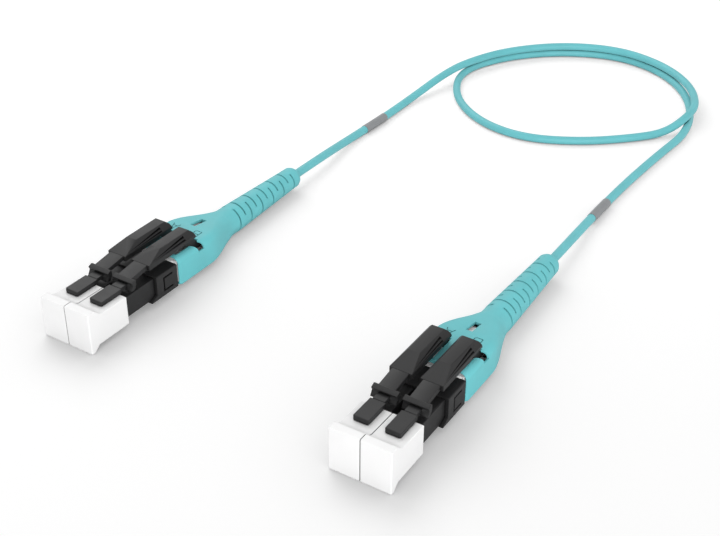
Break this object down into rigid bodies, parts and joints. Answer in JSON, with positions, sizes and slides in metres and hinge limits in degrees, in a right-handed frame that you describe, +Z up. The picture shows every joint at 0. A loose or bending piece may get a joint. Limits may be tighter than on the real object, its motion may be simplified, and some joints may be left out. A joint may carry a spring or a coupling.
{
  "type": "duplex fibre optic patch cord",
  "caption": "Duplex LC fibre patch cord lying in one loop, with push-pull uniboot connectors, latch levers tied to a sliding boot, dust caps and grey marker bands on a round cord.",
  "frame": {"origin": "centre of the near connector's footprint, on the surface it lies on", "axes": "+Y from the near connector's dust caps towards its cord, +Z up, +X to the right seen from behind the boot"},
  "size_m": [0.0801, 0.1894, 0.0114],
  "materials": {
    "cap_white": "satin",
    "housing_black": "satin",
    "carrier_white": "satin",
    "boot_aqua": "satin",
    "cord_aqua": "satin",
    "band_grey": "matt",
    "ceramic_white": "polished",
    "steel": "bright",
    "fibre_buffer": "smooth"
  },
  "bodies": {
    "patch_cord": {"near_plug_housing_left": "housing_black", "near_plug_body_left": "housing_black", "near_buffered_fibre_left": "fibre_buffer", "near_plug_housing_right": "housing_black", "near_plug_body_right": "housing_black", "near_buffered_fibre_right": "fibre_buffer", "near_carrier_base": "carrier_white", "near_carrier_cover": "carrier_white", "near_crimp_sleeve": "steel", "far_plug_housing_left": "housing_black", "far_plug_body_left": "housing_black", "far_buffered_fibre_left": "fibre_buffer", "far_plug_housing_right": "housing_black", "far_plug_body_right": "housing_black", "far_buffered_fibre_right": "fibre_buffer", "far_carrier_base": "carrier_white", "far_carrier_cover": "carrier_white", "far_crimp_sleeve": "steel", "cord": "cord_aqua", "near_marker_band": "band_grey", "far_marker_band": "band_grey"},
    "near_cap_left": {"near_dust_cap_left": "cap_white"},
    "near_lever_left": {"near_latch_lever_left": "housing_black"},
    "near_ferrule_group_left": {"near_ferrule_left": "ceramic_white", "near_ferrule_flange_left": "steel", "near_ferrule_spring_left": "steel"},
    "near_cap_right": {"near_dust_cap_right": "cap_white"},
    "near_lever_right": {"near_latch_lever_right": "housing_black"},
    "near_ferrule_group_right": {"near_ferrule_right": "ceramic_white", "near_ferrule_flange_right": "steel", "near_ferrule_spring_right": "steel"},
    "near_boot_shell": {"near_boot": "boot_aqua"},
    "far_cap_left": {"far_dust_cap_left": "cap_white"},
    "far_lever_left": {"far_latch_lever_left": "housing_black"},
    "far_ferrule_group_left": {"far_ferrule_left": "ceramic_white", "far_ferrule_flange_left": "steel", "far_ferrule_spring_left": "steel"},
    "far_cap_right": {"far_dust_cap_right": "cap_white"},
    "far_lever_right": {"far_latch_lever_right": "housing_black"},
    "far_ferrule_group_right": {"far_ferrule_right": "ceramic_white", "far_ferrule_flange_right": "steel", "far_ferrule_spring_right": "steel"},
    "far_boot_shell": {"far_boot": "boot_aqua"}
  },
  "joints": [
    {"name": "near_cap_pull_left", "type": "slide", "parent": "patch_cord", "child": "near_cap_left", "axis": [0, -1, 0], "range_m": [0, 0.012]},
    {"name": "near_latch_flex_left", "type": "hinge", "parent": "patch_cord", "child": "near_lever_left", "pos_m": [-0.00313, -0.026, 0.00808], "axis": [-1, 0, 0], "range_deg": [0, 3.5]},
    {"name": "near_ferrule_push_left", "type": "slide", "parent": "patch_cord", "child": "near_ferrule_group_left", "axis": [0, 1, 0], "range_m": [0, 0.0012], "stiffness_N_per_m": 1500, "deforming": ["near_ferrule_spring_left"]},
    {"name": "near_cap_pull_right", "type": "slide", "parent": "patch_cord", "child": "near_cap_right", "axis": [0, -1, 0], "range_m": [0, 0.012]},
    {"name": "near_latch_flex_right", "type": "hinge", "parent": "patch_cord", "child": "near_lever_right", "pos_m": [0.00313, -0.026, 0.00808], "axis": [-1, 0, 0], "range_deg": [0, 3.5]},
    {"name": "near_ferrule_push_right", "type": "slide", "parent": "patch_cord", "child": "near_ferrule_group_right", "axis": [0, 1, 0], "range_m": [0, 0.0012], "stiffness_N_per_m": 1500, "deforming": ["near_ferrule_spring_right"]},
    {"name": "near_boot_slide", "type": "slide", "parent": "patch_cord", "child": "near_boot_shell", "axis": [0, 1, 0], "range_m": [0, 0.002], "stiffness_N_per_m": 600},
    {"name": "far_cap_pull_left", "type": "slide", "parent": "patch_cord", "child": "far_cap_left", "axis": [-0.0141, -0.9999, 0], "range_m": [0, 0.012]},
    {"name": "far_latch_flex_left", "type": "hinge", "parent": "patch_cord", "child": "far_lever_left", "pos_m": [-0.07066, -0.02337, 0.00808], "axis": [-0.9999, 0.0141, 0], "range_deg": [0, 3.5]},
    {"name": "far_ferrule_push_left", "type": "slide", "parent": "patch_cord", "child": "far_ferrule_group_left", "axis": [0.0141, 0.9999, 0], "range_m": [0, 0.0012], "stiffness_N_per_m": 1500, "deforming": ["far_ferrule_spring_left"]},
    {"name": "far_cap_pull_right", "type": "slide", "parent": "patch_cord", "child": "far_cap_right", "axis": [-0.0141, -0.9999, 0], "range_m": [0, 0.012]},
    {"name": "far_latch_flex_right", "type": "hinge", "parent": "patch_cord", "child": "far_lever_right", "pos_m": [-0.06442, -0.02346, 0.00808], "axis": [-0.9999, 0.0141, 0], "range_deg": [0, 3.5]},
    {"name": "far_ferrule_push_right", "type": "slide", "parent": "patch_cord", "child": "far_ferrule_group_right", "axis": [0.0141, 0.9999, 0], "range_m": [0, 0.0012], "stiffness_N_per_m": 1500, "deforming": ["far_ferrule_spring_right"]},
    {"name": "far_boot_slide", "type": "slide", "parent": "patch_cord", "child": "far_boot_shell", "axis": [0.0141, 0.9999, 0], "range_m": [0, 0.002], "stiffness_N_per_m": 600}
  ],
  "couplings": [
    {"joint": "near_latch_flex_left", "follows": "near_boot_slide", "rad_per_m": 30},
    {"joint": "near_latch_flex_right", "follows": "near_boot_slide", "rad_per_m": 30},
    {"joint": "far_latch_flex_left", "follows": "far_boot_slide", "rad_per_m": 30},
    {"joint": "far_latch_flex_right", "follows": "far_boot_slide", "rad_per_m": 30}
  ]
}
